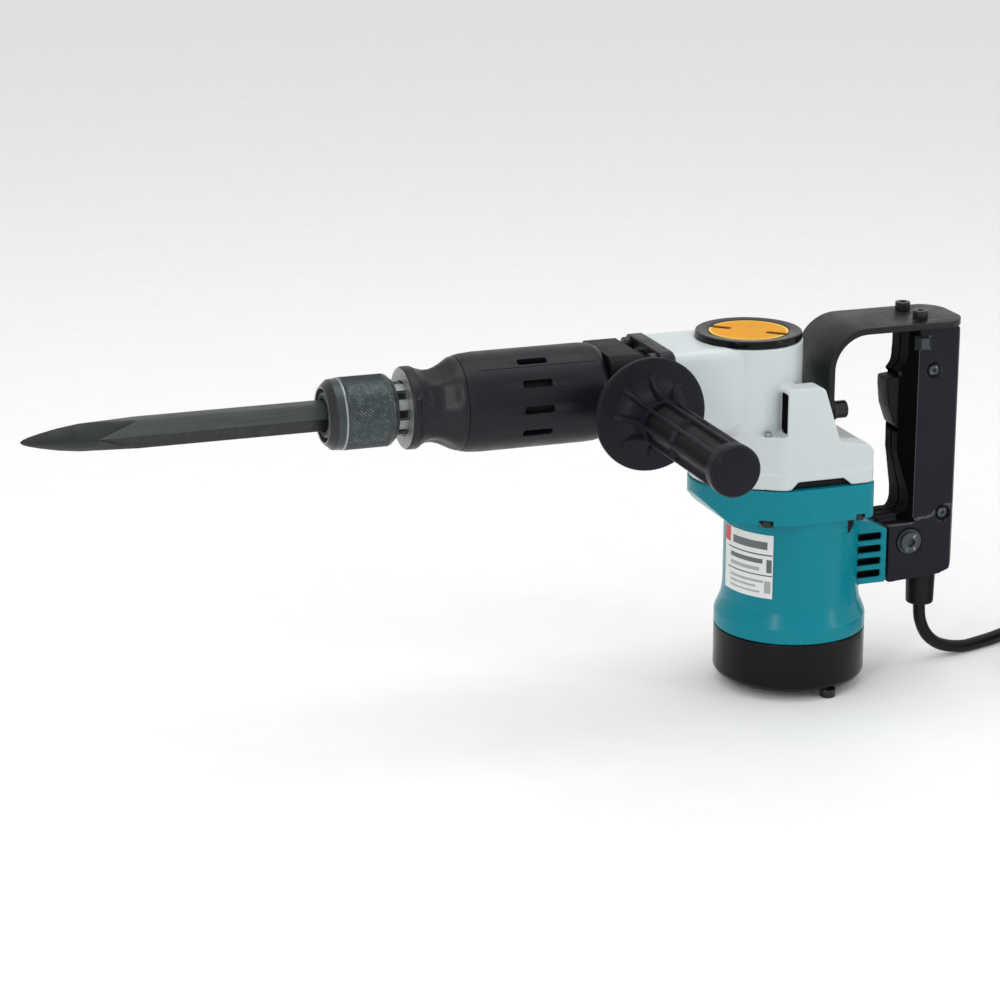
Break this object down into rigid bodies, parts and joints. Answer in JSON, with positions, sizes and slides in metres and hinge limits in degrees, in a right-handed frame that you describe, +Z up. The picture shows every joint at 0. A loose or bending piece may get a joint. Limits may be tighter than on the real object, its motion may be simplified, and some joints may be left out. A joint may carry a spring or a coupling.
{
  "type": "electric demolition hammer",
  "caption": "Hand-held electric demolition hammer with a hexagonal point chisel, upright motor, D-handle with trigger, swivelling side grip and coiled mains cord.",
  "frame": {"origin": "centre of the flat bottom of the motor end cap, on the motor axis", "axes": "+Z up along the motor axis, the barrel and chisel point along -X, the side grip along -Y at rest"},
  "size_m": [0.7885, 0.2403, 0.2395],
  "materials": {
    "chisel_steel": "ground, oiled and slightly rust-stained forged tool steel",
    "dark_steel": "blackened steel, knurled on the sleeve",
    "bright_steel": "machined steel",
    "black_casting": "semi-gloss black enamel on cast aluminium",
    "black_plastic": "satin black moulded nylon",
    "grip_plastic": "fine-grained dark moulded plastic",
    "grey_paint": "light grey enamel on a die casting",
    "teal_plastic": "gloss teal moulded nylon",
    "orange_label": "printed orange label with a yellow edge",
    "white_label": "white foil label with plain grey bars",
    "strap_paint": "satin black paint on a steel band",
    "cord_rubber": "black rubber",
    "tie_rubber": "matt rubber strap",
    "copper": "lacquered copper windings and steel shaft",
    "carbon": "carbon",
    "laminate": "varnished steel laminations"
  },
  "bodies": {
    "root": {"tool_holder": "dark_steel", "barrel_housing": "black_casting", "barrel_cover": "black_plastic", "barrel_flange": "black_casting", "cylinder": "bright_steel", "gear_housing": "grey_paint", "ledge_screw": "bright_steel", "crank_cap": "black_casting", "cap_label": "orange_label", "crank_bearing": "bright_steel", "motor_housing": "teal_plastic", "end_cap": "black_plastic", "rating_label": "white_label", "field_stator": "laminate", "bearing_upper": "bright_steel", "bearing_lower": "bright_steel", "carbon_brush_1": "carbon", "carbon_brush_2": "carbon", "handle_strap": "strap_paint", "grip_shell_left": "grip_plastic", "grip_shell_right": "grip_plastic", "switch_body": "grip_plastic", "cord_guard": "cord_rubber", "cord": "cord_rubber", "cord_coil": "cord_rubber", "cord_tie": "tie_rubber", "plug": "cord_rubber", "flange_bolt_1": "dark_steel", "end_cap_screw_1": "dark_steel", "flange_bolt_2": "dark_steel", "end_cap_screw_2": "dark_steel", "flange_bolt_3": "dark_steel", "end_cap_screw_3": "dark_steel", "flange_bolt_4": "dark_steel", "motor_screw_left_front": "dark_steel", "motor_screw_left_rear": "dark_steel", "motor_screw_right_front": "dark_steel", "motor_screw_right_rear": "dark_steel", "strap_top_bolt_left": "dark_steel", "strap_front_bolt_left": "dark_steel", "bracket_bolt_left": "dark_steel", "strap_top_bolt_right": "dark_steel", "strap_front_bolt_right": "dark_steel", "bracket_bolt_right": "dark_steel", "grip_screw_upper": "dark_steel", "grip_screw_lower": "dark_steel"},
    "chisel": {"chisel": "chisel_steel"},
    "retainer_sleeve": {"retainer_sleeve": "dark_steel"},
    "side_handle": {"side_clamp": "black_plastic", "clamp_stud": "bright_steel"},
    "side_grip": {"side_grip": "grip_plastic"},
    "armature": {"armature": "copper", "fan": "grip_plastic"},
    "crankshaft": {"crankshaft": "bright_steel"},
    "connecting_rod": {"connecting_rod": "bright_steel"},
    "piston": {"piston": "bright_steel"},
    "striker": {"striker": "bright_steel"},
    "impact_bolt": {"impact_bolt": "bright_steel"},
    "trigger": {"trigger": "black_plastic"}
  },
  "joints": [
    {"name": "chisel_slide", "type": "slide", "parent": "root", "child": "chisel", "axis": [-1, 0, 0], "range_m": [0, 0.012]},
    {"name": "sleeve_slide", "type": "slide", "parent": "root", "child": "retainer_sleeve", "axis": [1, 0, 0], "range_m": [0, 0.0055], "stiffness_N_per_m": 1500, "springref_m": -0.003},
    {"name": "side_handle_swing", "type": "hinge", "parent": "root", "child": "side_handle", "pos_m": [-0.123, 0, 0.198], "axis": [1, 0, 0], "continuous": true},
    {"name": "side_grip_twist", "type": "hinge", "parent": "side_handle", "child": "side_grip", "pos_m": [-0.123, -0.12, 0.198], "axis": [0, -1, 0], "continuous": true},
    {"name": "armature_spin", "type": "hinge", "parent": "root", "child": "armature", "pos_m": [0, 0, 0.07], "axis": [0, 0, 1], "continuous": true},
    {"name": "crank_spin", "type": "hinge", "parent": "root", "child": "crankshaft", "pos_m": [-0.033, 0, 0.16], "axis": [0, 0, 1], "continuous": true},
    {"name": "rod_pivot", "type": "hinge", "parent": "crankshaft", "child": "connecting_rod", "pos_m": [-0.021, 0, 0.198], "axis": [0, 0, 1], "continuous": true},
    {"name": "piston_slide", "type": "slide", "parent": "root", "child": "piston", "axis": [-1, 0, 0], "range_m": [0, 0.024]},
    {"name": "striker_slide", "type": "slide", "parent": "root", "child": "striker", "axis": [-1, 0, 0], "range_m": [0, 0.014]},
    {"name": "impact_bolt_slide", "type": "slide", "parent": "root", "child": "impact_bolt", "axis": [-1, 0, 0], "range_m": [0, 0.004]},
    {"name": "trigger_pull", "type": "hinge", "parent": "root", "child": "trigger", "pos_m": [0.076, 0, 0.16], "axis": [0, 1, 0], "range_deg": [0, 8], "stiffness_Nm_per_rad": 0.8, "springref_deg": -6.88}
  ],
  "couplings": [
    {"joint": "crank_spin", "follows": "armature_spin", "ratio": -0.2},
    {"joint": "rod_pivot", "follows": "armature_spin", "ratio": 0.2}
  ]
}
